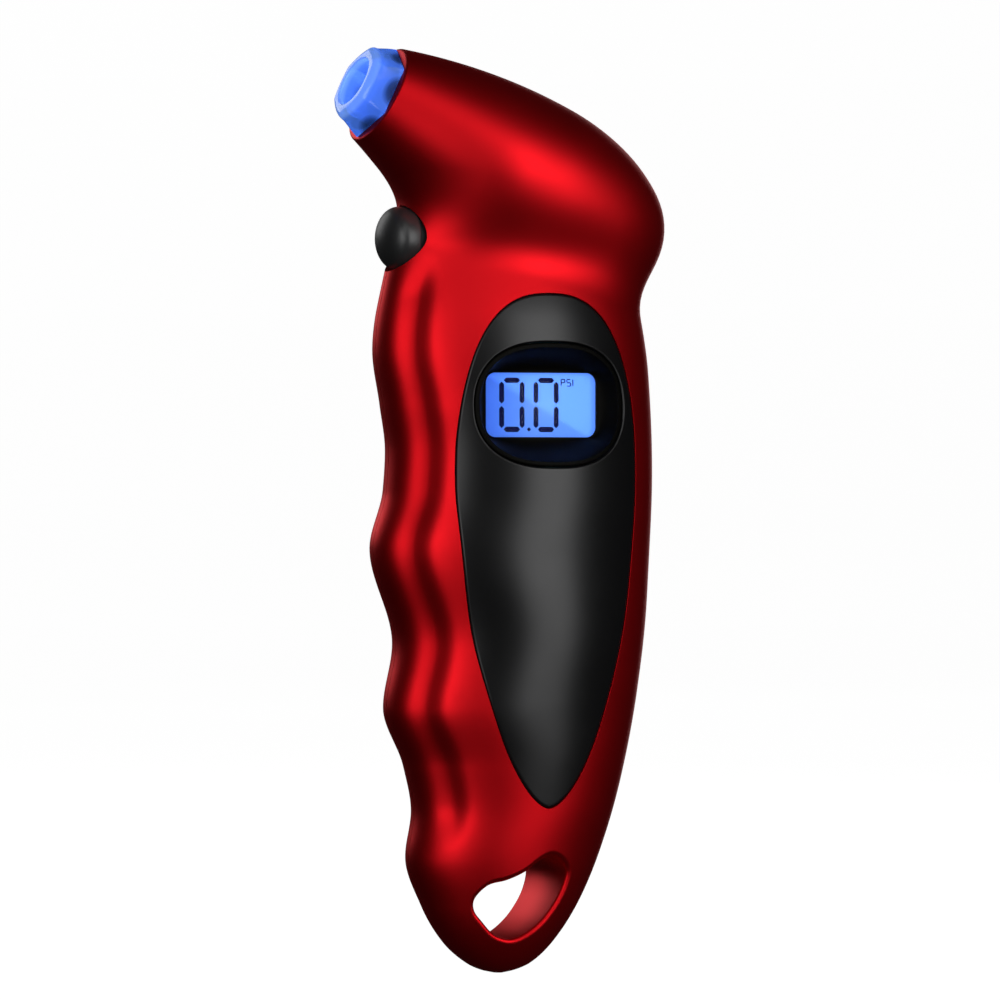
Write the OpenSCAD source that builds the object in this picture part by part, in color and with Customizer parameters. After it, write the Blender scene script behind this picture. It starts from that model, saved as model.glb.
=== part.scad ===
// Digital tire pressure gauge with a gripped body, an angled chuck and a backlit display.
// X runs across the body, Y from the display face to the back, Z from the lanyard end up to the head.
// Lengths are in mm. Positions across the body are measured from the panel's centre line,
// and placed() moves them so that the origin is under the middle of the whole gauge.

/* [Shell] */
// Wall thickness at the front and back
wall = 2.2; // [1.8:0.1:2.4]
// Gap left between the covers and the edges they fit in
cover_gap = 0.15; // [0.1:0.05:0.3]

/* [Head] */
// Tilt of the barrel above the horizontal, in degrees
barrel_tilt = 26; // [24:1:28]
// Radius of the barrel where the chuck joins it
mouth_r = 8.4; // [8:0.1:8.8]

/* [Chuck] */
// Radius of the bore that goes over a valve stem
port_r = 4.1; // [3.9:0.05:4.3]
// Distance from the hexagon's centre to its corners
hex_r = 8.3; // [7.8:0.1:8.6]
// Length of the hexagonal tip outside the barrel
hex_len = 4.8; // [4.5:0.1:6]

/* [Display] */
// Width of the visible window
window_w = 19.9; // [18:0.1:20.5]
// Height of the visible window
window_h = 10.5; // [9.5:0.1:11]

/* [Button] */
// Radius of the button's dome
button_r = 5.2; // [4.8:0.1:5.4]

/* [Battery] */
// Radius of one button cell
cell_r = 5.8; // [5.6:0.05:5.8]
// Thickness of one button cell
cell_len = 5.2; // [4.8:0.1:5.3]

/* [Hidden] */
$fn = 64;
origin_shift = 3.4;

// Handle outline: rows of [height, value]. The left edge has the four finger waves.
left_edge = [
    [0, -4.8], [0.4, -6.8], [1.5, -9.4], [5, -13.6], [11, -17.4], [19, -20.2], [26.5, -19.2], [34, -20.6], [43.5, -24.2],
    [54, -22.5], [69.5, -26.6], [79, -24.2], [85.5, -23.8], [93, -24.8], [102, -26.2], [120, -22.9], [140, -19]
];
right_edge = [
    [0, -3.2], [0.4, -1.2], [1.5, 1.6], [5, 5.6], [12, 10.4], [20, 14], [32, 17.7], [46, 20.6], [62, 22.4], [82, 23.3],
    [98, 22.7], [110, 20.9], [120, 18], [140, 12]
];
half_depth = [
    [0, 1], [0.6, 2.8], [3, 5.2], [8, 7.8], [16, 9.8], [28, 11.5], [45, 13.1], [66, 14], [90, 14], [106, 12.6],
    [120, 9.6], [140, 8]
];

// Barrel: a bullet that swells from the mouth, with a rounded tail
mouth = [-25.6, 0, 143.5];
barrel_r = 13.2;
barrel_swell = 31.2;
barrel_tail = 24.6;
barrel_belly = 1.6;
out = [-cos(barrel_tilt), 0, sin(barrel_tilt)];
across = [sin(barrel_tilt), 0, cos(barrel_tilt)];
handle_top = 126;
blend = 6;

// Groove that follows the finger waves
groove_in = 4.2;
groove_width = 2.4;
groove_steep = 1.3;
groove_depth = 0.6;

// Rings of the skin: flat ones up the handle, then ones that fan round into the barrel
spine_top = 100;
spine_start = [-1, 0, spine_top];
spine_bend = [-1, 0, 131.5];
low_rings = 33;
high_rings = 15;
cavity_first = 14;
ring_angles = [0, 12, 24, 36, 48, 60, 75, 90, 102, 112, 121, 129, 136, 142, 148, 154, 160, 166, 173, 180];

// Chuck: the narrower end of the hexagon, its sloping rim, and where the seal starts and ends inside the joint
hex_front = hex_r - 1.2;
hex_rim = 1.6;
seal_front = 1.8;
seal_back = 4.3;

// Case screws, seen from the front
case_screws = [[-1.5, 24], [-17.8, 84], [17.4, 84], [14, 120]];
screw_head_r = 2.2;
screw_r = 1.0;
pilot_r = 1.05;

// Inner layout, by depth behind the middle plane
window_back = -7;
lcd_back = -5.4;
board_front = -4;
board_back = -2.6;
display_z = 92.9;
board_screws_at = [[-10.5, 82], [10.5, 79.5], [-6.5, 106]];

// Battery bay and its door
bay_x = -1.3;
bay_z = 62;
bay_w = 20.6;
bay_h = 2 * cell_r + 0.4;
cell_y = 5.6;
door_w = 26.6;
door_low = 52;
door_high = 78.6;
door_screw_z = 74.2;
door_thick = 1.05;
door_rest = 1.3;

// Button and switch
button_z = 120;
button_hole_r = button_r + 0.3;

function ease(t) = let (c = min(max(t, 0), 1)) c * c * (3 - 2 * c);
function soft_min(a, b, k) = let (h = min(max(0.5 + 0.5 * (b - a) / k, 0), 1)) b + (a - b) * h - k * h * (1 - h);

// A smooth curve through rows of [position, value]
function rise(rows, i) = (rows[i + 1][1] - rows[i][1]) / (rows[i + 1][0] - rows[i][0]);
function slope_at(rows, i) =
    i == 0 ? rise(rows, 0) :
    i == len(rows) - 1 ? rise(rows, i - 1) :
    let (a = rise(rows, i - 1), b = rise(rows, i)) a * b <= 0 ? 0 : 2 * a * b / (a + b);
function row_below(rows, z, i = 0) = (i >= len(rows) - 2 || z < rows[i + 1][0]) ? i : row_below(rows, z, i + 1);
function curve(rows, at) =
    let (
        z = min(max(at, rows[0][0]), rows[len(rows) - 1][0]),
        i = row_below(rows, z),
        h = rows[i + 1][0] - rows[i][0],
        s = (z - rows[i][0]) / h
    )
    (1 + 2 * s) * (1 - s) * (1 - s) * rows[i][1] + s * (1 - s) * (1 - s) * h * slope_at(rows, i)
    + s * s * (3 - 2 * s) * rows[i + 1][1] + s * s * (s - 1) * h * slope_at(rows, i + 1);

// How far a point is outside the handle, the barrel, and the two blended (negative is inside)
function handle_level(p) =
    let (
        l = curve(left_edge, p.z),
        r = curve(right_edge, p.z),
        b = curve(half_depth, p.z),
        a = (r - l) / 2,
        q = sqrt(pow((p.x - (l + r) / 2) / a, 2) + pow(p.y / b, 2)),
        from_groove = p.x - l - groove_in,
        side = from_groove / (from_groove < 0 ? groove_width : groove_steep),
        groove = groove_depth * exp(-side * side) * ease((p.z - 20) / 8) * ease((118 - p.z) / 8)
    )
    -soft_min(-((q - 1) * min(a, b) + groove), handle_top - p.z, 6);
function barrel_level(p) =
    let (
        d = p - mouth,
        back = -(d * out),
        belly = barrel_belly * ease(back / 26) * ease((44 - back) / 26),
        radius = barrel_r + belly,
        off = norm(d + back * out + belly * across),
        swell = max(barrel_swell - back, 0) / barrel_swell,
        tail = max(back - barrel_swell, 0) / barrel_tail
    )
    back < barrel_swell
        ? off - radius + (barrel_r - mouth_r) * swell * swell
        : (norm([off / radius, tail]) - 1) * radius;
function body_level(p) = soft_min(barrel_level(p), handle_level(p), blend);

// Ring centres and the direction across each ring
function bend_point(u) = (1 - u) * (1 - u) * spine_start + 2 * u * (1 - u) * spine_bend + u * u * mouth;
function bend_way(u) =
    let (d = (1 - u) * (spine_bend - spine_start) + u * (mouth - spine_bend)) d / norm(d);
function ring_centre(s) =
    s > spine_top ? bend_point((s - spine_top) / 60) :
    let (middle = (curve(left_edge, s) + curve(right_edge, s)) / 2, w = ease((s - 80) / 20))
    [middle * (1 - w) + spine_start.x * w, 0, s];
function ring_across(s) = s > spine_top ? let (d = bend_way((s - spine_top) / 60)) [d.z, 0, -d.x] : [1, 0, 0];
function low_height(i) = spine_top * pow(i / (low_rings - 1), 1.25);
ring_list = concat(
    [for (i = [0:low_rings - 1]) low_height(i)],
    [for (i = [1:high_rings]) spine_top + 60 * i / high_rings]
);

// Where a ray from the ring's centre meets the skin, moved in by inset
function meet(o, d, inset, lo = 0.02, hi = 46, n = 14) =
    n == 0 ? o + d * (lo + hi) / 2 :
    let (mid = (lo + hi) / 2)
    body_level(o + d * mid) + inset > 0 ? meet(o, d, inset, lo, mid, n - 1) : meet(o, d, inset, mid, hi, n - 1);
function ray(s, angle, side) =
    let (d = 1.6 * cos(angle) * ring_across(s) + [0, side * sin(angle), 0]) d / norm(d);
function skin_points(rings, inset, side) =
    [for (s = rings) for (a = ring_angles) meet(ring_centre(s), ray(s, a, side), inset)];
function skin_y(x, z) = meet([x, 0, z], [0, 1, 0], 0).y;

// Triangles between two rows of points, turned outward for the front (-1) or the back (1)
ring_n = len(ring_angles);
function turned(f, side) = side < 0 ? f : [f[2], f[1], f[0]];
function quad(a, b, c, d, side) = [turned([a, b, c], side), turned([a, c, d], side)];
function skin_faces(first, last, side, from = 0) =
    [for (i = [first:last - 1]) for (j = [0:ring_n - 2]) each
        quad(from + i * ring_n + j, from + i * ring_n + j + 1, from + (i + 1) * ring_n + j + 1,
             from + (i + 1) * ring_n + j, side)];
function cap_faces(i, side, from = 0) =
    [for (j = [1:ring_n - 2]) turned([from + i * ring_n, from + i * ring_n + j, from + i * ring_n + j + 1], side)];

// Everything inside the skin on one side of the middle plane
module half_body(inset, rings, side) {
    n = len(rings);
    right = function (i) i * ring_n;
    left = function (i) i * ring_n + ring_n - 1;
    middle = [for (i = [0:n - 2]) each quad(right(i), right(i + 1), left(i + 1), left(i), side)];
    polyhedron(
        points = skin_points(rings, inset, side),
        faces = concat(skin_faces(0, n - 1, side), middle, cap_faces(0, -side), cap_faces(n - 1, side))
    );
}

// One half of the case: skin, wall, and a flat parting face
module half_shell(side) {
    n = len(ring_list);
    inner_list = [for (i = [cavity_first:n - 1]) ring_list[i]];
    m = len(inner_list);
    inner = n * ring_n;
    right = function (i) i * ring_n;
    left = function (i) i * ring_n + ring_n - 1;
    c = cavity_first;
    solid_part = [for (i = [0:c - 2]) each quad(right(i), right(i + 1), left(i + 1), left(i), side)];
    step = [right(c - 1), right(c), inner, inner + ring_n - 1, left(c), left(c - 1)];
    step_part = [for (k = [1:4]) turned([step[0], step[k], step[k + 1]], side)];
    rim = [for (i = [0:m - 2]) each concat(
        quad(right(i + c), right(i + c + 1), inner + right(i + 1), inner + right(i), side),
        quad(inner + left(i), inner + left(i + 1), left(i + c + 1), left(i + c), side)
    )];
    end = [for (j = [0:ring_n - 2]) each quad(
        (n - 1) * ring_n + j, (n - 1) * ring_n + j + 1,
        inner + (m - 1) * ring_n + j + 1, inner + (m - 1) * ring_n + j, side
    )];
    polyhedron(
        points = concat(skin_points(ring_list, 0, side), skin_points(inner_list, wall, side)),
        faces = concat(
            skin_faces(0, n - 1, side), skin_faces(0, m - 1, -side, inner), cap_faces(0, -side),
            cap_faces(0, side, inner), solid_part, step_part, rim, end
        )
    );
}

// Flat outlines, seen from the front
function panel_half(z) = z > 80
    ? 16.3 * pow(max(1 - pow((z - 80) / 31, 2.5), 0), 0.4)
    : 16.3 * pow(max(1 - pow((80 - z) / 52.8, 1.75), 0), 0.6);
panel_steps = 26;
function panel_z(i) = 69.1 - 41.9 * cos(180 * i / panel_steps);
module panel_outline(grow) {
    offset(delta = grow)
    polygon(concat(
        [for (i = [0:panel_steps]) [panel_half(panel_z(i)), panel_z(i)]],
        [for (i = [panel_steps - 1:-1:1]) [-panel_half(panel_z(i)), panel_z(i)]]
    ));
}
bezel_steps = 40;
module bezel_outline(grow) {
    translate([0, display_z])
    polygon([for (i = [0:bezel_steps - 1]) let (a = 360 * i / bezel_steps, c = cos(a), s = sin(a))
        [(13.45 + grow) * sign(c) * pow(abs(c), 0.75), (10.1 + grow) * sign(s) * pow(abs(s), 0.9)]]);
}
module rounded_box(w, h, r) {
    square([w - 2 * r, h], center = true);
    square([w, h - 2 * r], center = true);
    for (x = [-1, 1], z = [-1, 1]) translate([x * (w / 2 - r), z * (h / 2 - r)]) circle(r);
}

// Extrudes an outline drawn in X and Z between two depths
module between(y0, y1) {
    translate([0, y1, 0]) rotate([90, 0, 0]) linear_extrude(y1 - y0) children();
}
module along_y(x, z, y0, y1, r) {
    translate([x, y0, z]) rotate([-90, 0, 0]) cylinder(r = r, h = y1 - y0);
}
module along_x(y, z, x0, x1, r) {
    translate([x0, y, z]) rotate([0, 90, 0]) cylinder(r = r, h = x1 - x0);
}
module block(x0, x1, y0, y1, z0, z1) {
    translate([x0, y0, z0]) cube([x1 - x0, y1 - y0, z1 - z0]);
}
module placed() {
    translate([origin_shift, 0, 0]) children();
}
// Turns local +Z out of the mouth, with local zero at the joint
module on_barrel() {
    translate(mouth) rotate([0, barrel_tilt - 90, 0]) children();
}
module tube(r_out, r_in, z0, z1) {
    translate([0, 0, z0]) difference() {
        cylinder(r = r_out, h = z1 - z0);
        translate([0, 0, -1]) cylinder(r = r_in, h = z1 - z0 + 2);
    }
}

// Hole for a lanyard, through both halves
module lanyard_hole() {
    between(-20, 20) hull() {
        translate([-8.5, 12]) circle(3.3, $fn = 32);
        translate([0.9, 15.8]) circle(3.8, $fn = 32);
        translate([-4.2, 9.7]) circle(4.3, $fn = 32);
    }
}
module button_hole() {
    along_x(0, button_z, -40, -14, button_hole_r);
}
// Ribs that hold the chuck's tube, in one half of the barrel
module tube_ribs(side) {
    intersection() {
        half_body(wall * 0.6, [for (i = [low_rings + 4:len(ring_list) - 1]) ring_list[i]], side);
        on_barrel() difference() {
            union() {
                tube(11.6, 4.4, -10.5, -9);
                tube(12.6, 4.4, -18.5, -17);
            }
            translate([6, 0, -11]) cylinder(r = 1.8, h = 3);
        }
    }
}

module front_shell() {
    placed() color("red") difference() {
        union() {
            half_shell(-1);
            tube_ribs(-1);
            for (s = [1:3]) let (at = case_screws[s])
                along_y(at[0], at[1], min(-5.5, 1 - skin_y(at[0], at[1]) * (s == 3 ? 1 : 0)), 0, 2.8);
        }
        between(-20, -4.9) panel_outline(cover_gap);
        lanyard_hole();
        button_hole();
        for (at = case_screws) along_y(at[0], at[1], -5, 1, pilot_r);
    }
}

function door_outline_z() = (door_low + door_high) / 2;
module door_outline(grow) {
    translate([bay_x, door_outline_z()])
    rounded_box(door_w + 2 * grow, door_high - door_low + 2 * grow, 3);
}
door_rings = [for (i = [0:12]) 48 + 34 * i / 12];

module rear_shell() {
    placed() color("darkred") difference() {
        union() {
            half_shell(1);
            tube_ribs(1);
            for (s = [1:3]) let (at = case_screws[s])
                along_y(at[0], at[1], 0, skin_y(at[0], at[1]) - 1, 3.4);
            along_y(bay_x, door_screw_z, 4, 13, 4.6);
        }
        difference() {
            between(4, 20) door_outline(2 * cover_gap);
            half_body(door_rest, door_rings, 1);
        }
        between(4, 20) translate([bay_x, bay_z]) square([bay_w, bay_h], center = true);
        along_y(bay_x, door_screw_z, 11, 20, 3.6);
        along_y(bay_x, door_screw_z, 1, 12, pilot_r);
        for (at = case_screws) {
            along_y(at[0], at[1], -1, 20, screw_r + 0.25);
            along_y(at[0], at[1], skin_y(at[0], at[1]) - 2.4, 20, screw_head_r + 0.2);
        }
        lanyard_hole();
        button_hole();
    }
}

panel_rings = [for (i = [0:30]) 25.6 + 87 * i / 30];
module face_panel() {
    placed() color("dimgray") union() {
        difference() {
            intersection() {
                half_body(0.25, panel_rings, -1);
                between(-20, -2) panel_outline(0);
            }
            half_body(wall - 0.2, panel_rings, -1);
            between(-20, 2) bezel_outline(0.1);
        }
        for (at = board_screws_at) difference() {
            along_y(at[0], at[1], -skin_y(at[0], at[1]) + 1.2, board_front, 1.8);
            along_y(at[0], at[1], -8, 0, 0.65);
        }
    }
}

module display_bezel() {
    floor_y = window_back - 1.2;
    placed() color("black") difference() {
        intersection() {
            between(-20, window_back - 0.8) bezel_outline(0);
            half_body(0.55, [for (i = [0:8]) 79 + 28 * i / 8], -1);
        }
        hull() {
            between(-17, -16) bezel_outline(2.2);
            between(floor_y - 0.1, floor_y) translate([0, display_z]) rounded_box(window_w, window_h, 1.6, $fn = 32);
        }
        between(-20, 0) translate([0, display_z]) rounded_box(window_w, window_h, 1.6);
    }
}

module display_window() {
    placed() color("lightblue", 0.5)
        between(window_back - 0.8, window_back) translate([0, display_z]) rounded_box(23, 13.4, 1.5);
}

module lcd_glass() {
    placed() color("cornflowerblue") union() {
        block(-13, 13, window_back, window_back + 0.8, display_z - 8, display_z + 8);
        block(-13, 13, window_back + 0.8, lcd_back, display_z - 8, display_z + 6.8);
    }
}

module lcd_backlight() {
    placed() color("white") union() {
        block(-12, 12, lcd_back, board_front, display_z - 6, display_z + 6);
        block(12, 13.4, lcd_back + 0.1, board_front, display_z - 2, display_z + 2);
    }
}

module zebra_strips() {
    placed() color("hotpink") for (z = [-7.8, 6.4])
        block(-12.5, 12.5, lcd_back, board_front, display_z + z, display_z + z + 1.4);
}

module power_button() {
    dome_x = -22.2;
    dome_rise = 3.3;
    dome_r = (button_r * button_r + dome_rise * dome_rise) / (2 * dome_rise);
    flank_end = -20;
    stem_x = -12.1;
    placed() color("dimgray") union() {
        intersection() {
            translate([dome_x - dome_rise + dome_r, 0, button_z]) sphere(r = dome_r);
            along_x(0, button_z, dome_x - 6, flank_end, button_r);
        }
        along_x(0, button_z, flank_end - 0.5, -15.4, button_r - 0.4);
        block(-16.4, -15.4, -2.6, 2.6, button_z - 7.4, button_z + 3);
        along_x(0, button_z, -15.5, stem_x, 1.6);
    }
}

module switch_plunger() {
    placed() color("black") along_x(0, button_z, -12.1, -9.6, 1.0);
}

module tact_switch() {
    placed() color("silver") difference() {
        union() {
            block(-10.9, -7.5, board_back, 2.4, button_z - 3.5, button_z + 3.5);
            block(-10, -8.4, board_back, -1.4, button_z - 4.3, button_z + 4.3);
        }
        along_x(0, button_z, -12, -8.4, 1.08);
    }
}

module nozzle_lens() {
    placed() color("deepskyblue", 0.6) on_barrel() difference() {
        union() {
            cylinder(r1 = hex_r, r2 = hex_front, h = hex_len - hex_rim + 0.02, $fn = 6);
            translate([0, 0, hex_len - hex_rim])
                cylinder(r1 = hex_front, r2 = hex_front - hex_rim, h = hex_rim, $fn = 6);
            translate([0, 0, -seal_back]) cylinder(r = mouth_r - wall - 0.1, h = seal_back + 0.1);
        }
        translate([0, 0, -seal_front]) cylinder(r = port_r, h = hex_len + 4);
        translate([0, 0, -seal_back - 1]) cylinder(r = 4.7, h = seal_back + 1 - seal_front);
    }
}

module nozzle_seal() {
    placed() color("black") on_barrel() tube(4.65, 2.1, -seal_back + 0.1, -seal_front);
}

module depressor_pin() {
    placed() color("gold") on_barrel() union() {
        translate([0, 0, -8.6]) cylinder(r = 0.9, h = 8.5 - seal_front);
        tube(3.45, 0.85, -5.8, -4.9);
    }
}

module nozzle_body() {
    placed() color("goldenrod") on_barrel() union() {
        difference() {
            translate([0, 0, -21]) cylinder(r = 4.3, h = 20.9 - seal_back);
            translate([0, 0, -22]) cylinder(r = 1.0, h = 20);
            translate([0, 0, -9.5]) cylinder(r = 3.5, h = 6);
        }
        tube(1.6, 0.9, -27.5, -20.5);
        for (z = [-26.8, -24.8, -22.8]) translate([0, 0, z]) difference() {
            cylinder(r1 = 1.35, r2 = 1.63, h = 1.2);
            translate([0, 0, -1]) cylinder(r = 1.2, h = 4);
        }
    }
}

module nozzle_led() {
    placed() color("white", 0.7) on_barrel() translate([6, 0, -9]) union() {
        cylinder(r = 1.45, h = 3);
        translate([0, 0, 3]) sphere(r = 1.45);
        for (y = [-0.6, 0.6]) translate([0, y, -5]) cylinder(r = 0.22, h = 5.1);
    }
}

// The hose leaves the barb along the barrel, bends down and ends on the sensor's port
hose_bend = 8;
hose_start = 28.6;
hose_from = mouth - hose_start * out;
hose_centre = hose_from + hose_bend * [-sin(barrel_tilt), 0, -cos(barrel_tilt)];
port_x = hose_centre.x + hose_bend;
port_top = 118.6;
sensor_top = 111.5;
hose_out = 2.4;
hose_in = 1.68;
hose_sides = 16;
hose_steps = 8;
// Each ring of the hose: its centre and the angle of its outward direction above X
hose_arc = [for (i = [0:hose_steps]) (90 - barrel_tilt) * (1 - i / hose_steps)];
hose_rings = concat(
    [[mouth - 21.2 * out, 90 - barrel_tilt]],
    [for (a = hose_arc) [hose_centre + hose_bend * [cos(a), 0, sin(a)], a]],
    [[[port_x, 0, sensor_top + 1], 0]]
);
function hose_ring(ring, r) = [for (k = [0:hose_sides - 1]) let (t = 360 * k / hose_sides)
    ring[0] + r * [cos(t) * cos(ring[1]), sin(t), cos(t) * sin(ring[1])]];
module air_hose() {
    n = len(hose_rings);
    m = hose_sides;
    at = function (wall_side, i, k) (wall_side * n + i) * m + k % m;
    outside = [for (i = [0:n - 2]) for (k = [0:m - 1]) each
        quad(at(0, i, k), at(0, i, k + 1), at(0, i + 1, k + 1), at(0, i + 1, k), -1)];
    inside = [for (i = [0:n - 2]) for (k = [0:m - 1]) each
        quad(at(1, i, k), at(1, i, k + 1), at(1, i + 1, k + 1), at(1, i + 1, k), 1)];
    ends = [for (k = [0:m - 1]) each concat(
        quad(at(0, 0, k), at(0, 0, k + 1), at(1, 0, k + 1), at(1, 0, k), 1),
        quad(at(0, n - 1, k), at(0, n - 1, k + 1), at(1, n - 1, k + 1), at(1, n - 1, k), -1)
    )];
    placed() color("ivory") polyhedron(
        points = [for (r = [hose_out, hose_in]) for (ring = hose_rings) each hose_ring(ring, r)],
        faces = concat(outside, inside, ends)
    );
}

module hose_clips() {
    placed() color("silver") union() {
        on_barrel() tube(2.95, 2.42, -25, -23.4);
        translate([port_x, 0, sensor_top + 2.4]) tube(2.95, 2.42, 0, 1.6);
    }
}

module pressure_sensor() {
    placed() color("gray") union() {
        block(port_x - 4.8, port_x + 4.8, board_back, 2.6, sensor_top - 10.5, sensor_top);
        translate([port_x, 0, sensor_top - 0.1]) tube(1.6, 0.6, 0, port_top - sensor_top);
        for (x = [-3.6, -1.2, 1.2, 3.6], z = [-11.5, -0.6])
            block(port_x + x - 0.3, port_x + x + 0.3, board_back, board_back + 0.5,
                  sensor_top + z, sensor_top + z + 1.2);
    }
}

module main_board() {
    placed() color("green") difference() {
        union() {
            block(-13.6, 13.6, board_front, board_back, 76.5, 112.8);
            block(-13.6, -2, board_front, board_back, 112.7, 125.6);
        }
        for (at = board_screws_at) along_y(at[0], at[1], -6, 0, 0.9);
    }
}

module controller_chip() {
    placed() color("black") union() {
        block(-9, -1, board_back, board_back + 1.2, 84.5, 92.5);
        for (i = [0:6]) {
            block(-10, 0, board_back, board_back + 0.3, 85.2 + i, 85.6 + i);
            block(-8.2 + i, -7.8 + i, board_back, board_back + 0.3, 83.5, 93.5);
        }
    }
}

module board_components() {
    placed() color("tan") union() {
        for (z = [80, 83.2, 86.4, 89.6, 92.8]) block(4, 6, board_back, board_back + 0.9, z, z + 1.3);
        for (z = [84, 88, 92]) block(9, 10.3, board_back, board_back + 0.8, z, z + 2.1);
        block(-11.6, -7.6, board_back, board_back + 1.6, 97, 100.6);
        block(-12, -10.4, board_back, board_back + 0.9, 109, 111);
        along_y(3.2, 97.6, board_back, board_back + 4.4, 1.6);
        block(-4.4, 0.2, board_back, board_back + 2.4, 78.2, 80.8);
    }
}

module board_screws() {
    placed() color("silver") for (at = board_screws_at) {
        along_y(at[0], at[1], board_back, board_back + 1.1, 1.6);
        along_y(at[0], at[1], -7.6, board_back + 0.1, 0.6);
    }
}

bay_left = bay_x - bay_w / 2;
bay_right = bay_x + bay_w / 2;
tray_wall = 1;
module battery_tray() {
    placed() color("black") difference() {
        intersection() {
            block(bay_left - tray_wall, bay_right + tray_wall, -1.6, 20,
                  bay_z - bay_h / 2 - tray_wall, bay_z + bay_h / 2 + tray_wall);
            union() {
                half_body(wall + 0.05, door_rings, 1);
                block(bay_left - 2, bay_right + 2, -2, 0.1, 50, 74);
            }
        }
        block(bay_left, bay_right, -0.6, 20, bay_z - bay_h / 2, bay_z + bay_h / 2);
        for (x = [bay_left, bay_right - 0.5]) block(x, x + 0.5, 0.9, 3.1, bay_z, bay_z + bay_h);
    }
}

cells_left = bay_left + 3.6;
module button_cells() {
    placed() color("silver") for (i = [0:2]) let (x = cells_left + i * (cell_len + 0.05)) {
        along_x(cell_y, bay_z, x, x + cell_len - 0.9, cell_r);
        along_x(cell_y, bay_z, x + cell_len - 1, x + cell_len, cell_r - 1.2);
    }
}

cells_right = cells_left + 3 * cell_len + 0.1;
module positive_contact() {
    placed() color("gold") union() {
        block(bay_right - 0.4, bay_right, 0, 10, bay_z - 4.5, bay_z + 4.5);
        block(cells_right, bay_right - 0.3, 4, 7, bay_z - 2, bay_z + 2);
        block(bay_right - 0.4, bay_right, 1, 3, bay_z + 4, bay_z + 9);
    }
}

module negative_contact() {
    wire = 0.35;
    turns = 6;
    pitch = (cells_left - bay_left - 0.4 - 2 * wire) / (turns - 1);
    placed() color("gold") union() {
        block(bay_left, bay_left + 0.4, 0, 10, bay_z - 4.5, bay_z + 4.5);
        block(bay_left, bay_left + 0.4, 1, 3, bay_z + 4, bay_z + 9);
        translate([bay_left + 0.3 + wire, cell_y, bay_z]) rotate([0, 90, 0]) for (i = [0:turns - 1])
            translate([0, 0, i * pitch]) rotate_extrude() translate([3.6 - 0.36 * i, 0]) circle(wire);
    }
}

module wire_run(x, y, z0, z1) {
    translate([x, y, z0]) cylinder(r = 0.5, h = z1 - z0);
    translate([x, y, z0]) sphere(r = 0.5);
    translate([x, y, z1]) sphere(r = 0.5);
    translate([x, y, z1]) rotate([90, 0, 0]) cylinder(r = 0.5, h = y - board_back - 0.1);
}
module battery_wires() {
    placed() color("red") union() {
        wire_run(bay_left - 0.1 + 1.1, 2, bay_z + 9.4, 78.4);
        wire_run(bay_right - 1.1, 2, bay_z + 9.4, 78.4);
    }
}

module battery_door() {
    placed() color("darkred") difference() {
        union() {
            intersection() {
                difference() {
                    half_body(0.02, door_rings, 1);
                    half_body(door_thick, door_rings, 1);
                }
                between(2, 20) door_outline(0);
            }
            intersection() {
                half_body(0.02, door_rings, 1);
                along_y(bay_x, door_screw_z, 11.3, 20, 3.3);
            }
        }
        along_y(bay_x, door_screw_z, 12.3, 20, screw_head_r + 0.15);
        along_y(bay_x, door_screw_z, 5, 13, screw_r + 0.15);
    }
}

module battery_door_screw() {
    placed() color("silver") difference() {
        union() {
            along_y(bay_x, door_screw_z, 12.3, 13.6, screw_head_r);
            along_y(bay_x, door_screw_z, 6, 12.4, screw_r);
        }
        translate([bay_x, 13.4, door_screw_z]) cube([0.6, 1, 3.2], center = true);
        translate([bay_x, 13.4, door_screw_z]) cube([3.2, 1, 0.6], center = true);
    }
}

module case_screw_set() {
    placed() color("silver") for (at = case_screws) let (seat = skin_y(at[0], at[1]) - 2.4) difference() {
        union() {
            along_y(at[0], at[1], seat, seat + 1.4, screw_head_r);
            along_y(at[0], at[1], -4.8, seat + 0.1, screw_r);
        }
        translate([at[0], seat + 1.3, at[1]]) cube([0.6, 1, 3.2], center = true);
        translate([at[0], seat + 1.3, at[1]]) cube([3.2, 1, 0.6], center = true);
    }
}

front_shell();
rear_shell();
face_panel();
display_bezel();
display_window();
lcd_glass();
lcd_backlight();
zebra_strips();
power_button();
switch_plunger();
tact_switch();
nozzle_lens();
nozzle_seal();
depressor_pin();
nozzle_body();
nozzle_led();
air_hose();
hose_clips();
pressure_sensor();
main_board();
controller_chip();
board_components();
board_screws();
battery_tray();
button_cells();
positive_contact();
negative_contact();
battery_wires();
battery_door();
battery_door_screw();
case_screw_set();
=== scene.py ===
"""Looks of the tire pressure gauge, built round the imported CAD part.

The case is one smooth form, a gripped handle blended into a bullet-shaped barrel. body_level() says how
far a point is outside it, and every visible cover is laid on that form. Lengths here are in mm, measured
across the body from the panel's centre line. place() turns them into metres in the shared frame.
"""

import math

import bpy
import numpy as np
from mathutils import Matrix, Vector


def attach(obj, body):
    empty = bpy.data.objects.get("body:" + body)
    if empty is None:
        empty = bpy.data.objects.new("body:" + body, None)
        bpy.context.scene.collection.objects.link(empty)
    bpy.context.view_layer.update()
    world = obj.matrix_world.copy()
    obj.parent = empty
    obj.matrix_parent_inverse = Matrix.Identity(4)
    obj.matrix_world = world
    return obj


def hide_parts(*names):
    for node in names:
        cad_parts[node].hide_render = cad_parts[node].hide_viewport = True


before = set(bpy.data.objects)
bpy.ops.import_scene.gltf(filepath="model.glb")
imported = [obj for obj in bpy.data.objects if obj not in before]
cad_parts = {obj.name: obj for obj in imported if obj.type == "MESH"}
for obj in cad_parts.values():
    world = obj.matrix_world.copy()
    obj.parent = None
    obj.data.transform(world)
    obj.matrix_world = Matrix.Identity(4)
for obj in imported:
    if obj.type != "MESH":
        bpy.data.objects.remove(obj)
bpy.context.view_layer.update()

MM = 0.001
ORIGIN_SHIFT = 3.4
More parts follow.
